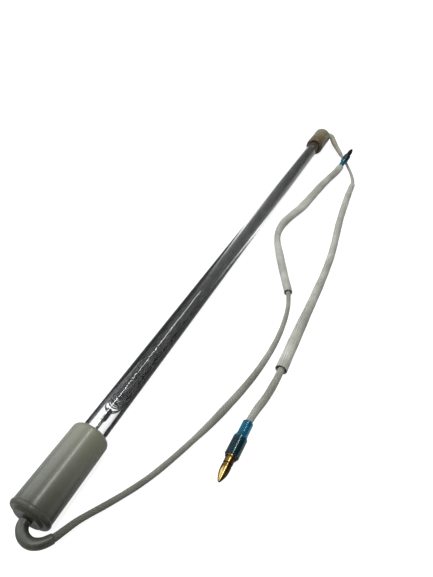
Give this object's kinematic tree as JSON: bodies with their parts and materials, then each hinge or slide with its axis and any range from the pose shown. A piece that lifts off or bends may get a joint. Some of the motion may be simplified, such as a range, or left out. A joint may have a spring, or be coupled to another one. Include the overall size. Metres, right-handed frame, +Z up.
{
  "type": "quartz heating tube",
  "caption": "Clear quartz tube heater with a wound resistance coil inside, silicone end caps and fibre-sleeved leads ending in insulated bullet terminals.",
  "frame": {"origin": "on the surface the heater lies on, under the middle of the tube", "axes": "+Y along the tube from the near cap to the far cap, +Z up, +X towards the leads and terminals"},
  "size_m": [0.069, 0.4486, 0.0168],
  "materials": {
    "quartz": "clear, fire-polished",
    "coil_wire": "dark oxidised resistance wire",
    "pin_steel": "plain drawn steel",
    "crimp_steel": "plated, pressed",
    "silicone": "translucent, satin",
    "lead_braid": "glass-fibre braid over the wire",
    "sleeve_braid": "loose glass-fibre braid",
    "copper": "bare copper strands",
    "boot_vinyl": "translucent teal vinyl",
    "terminal_brass": "bright brass"
  },
  "bodies": {
    "root": {"quartz_tube": "quartz", "heating_coil": "coil_wire", "near_pin": "pin_steel", "far_pin": "pin_steel", "near_crimp": "crimp_steel", "far_crimp": "crimp_steel", "near_cap": "silicone", "far_cap": "silicone", "near_lead": "lead_braid", "far_lead": "lead_braid", "near_inner_strands": "copper", "far_inner_strands": "copper", "near_outer_strands": "copper", "far_outer_strands": "copper", "near_relief": "silicone", "far_relief": "silicone", "near_sleeve": "sleeve_braid", "far_sleeve": "sleeve_braid", "near_boot": "boot_vinyl", "far_boot": "boot_vinyl", "near_bullet": "terminal_brass", "far_bullet": "terminal_brass"}
  },
  "joints": []
}
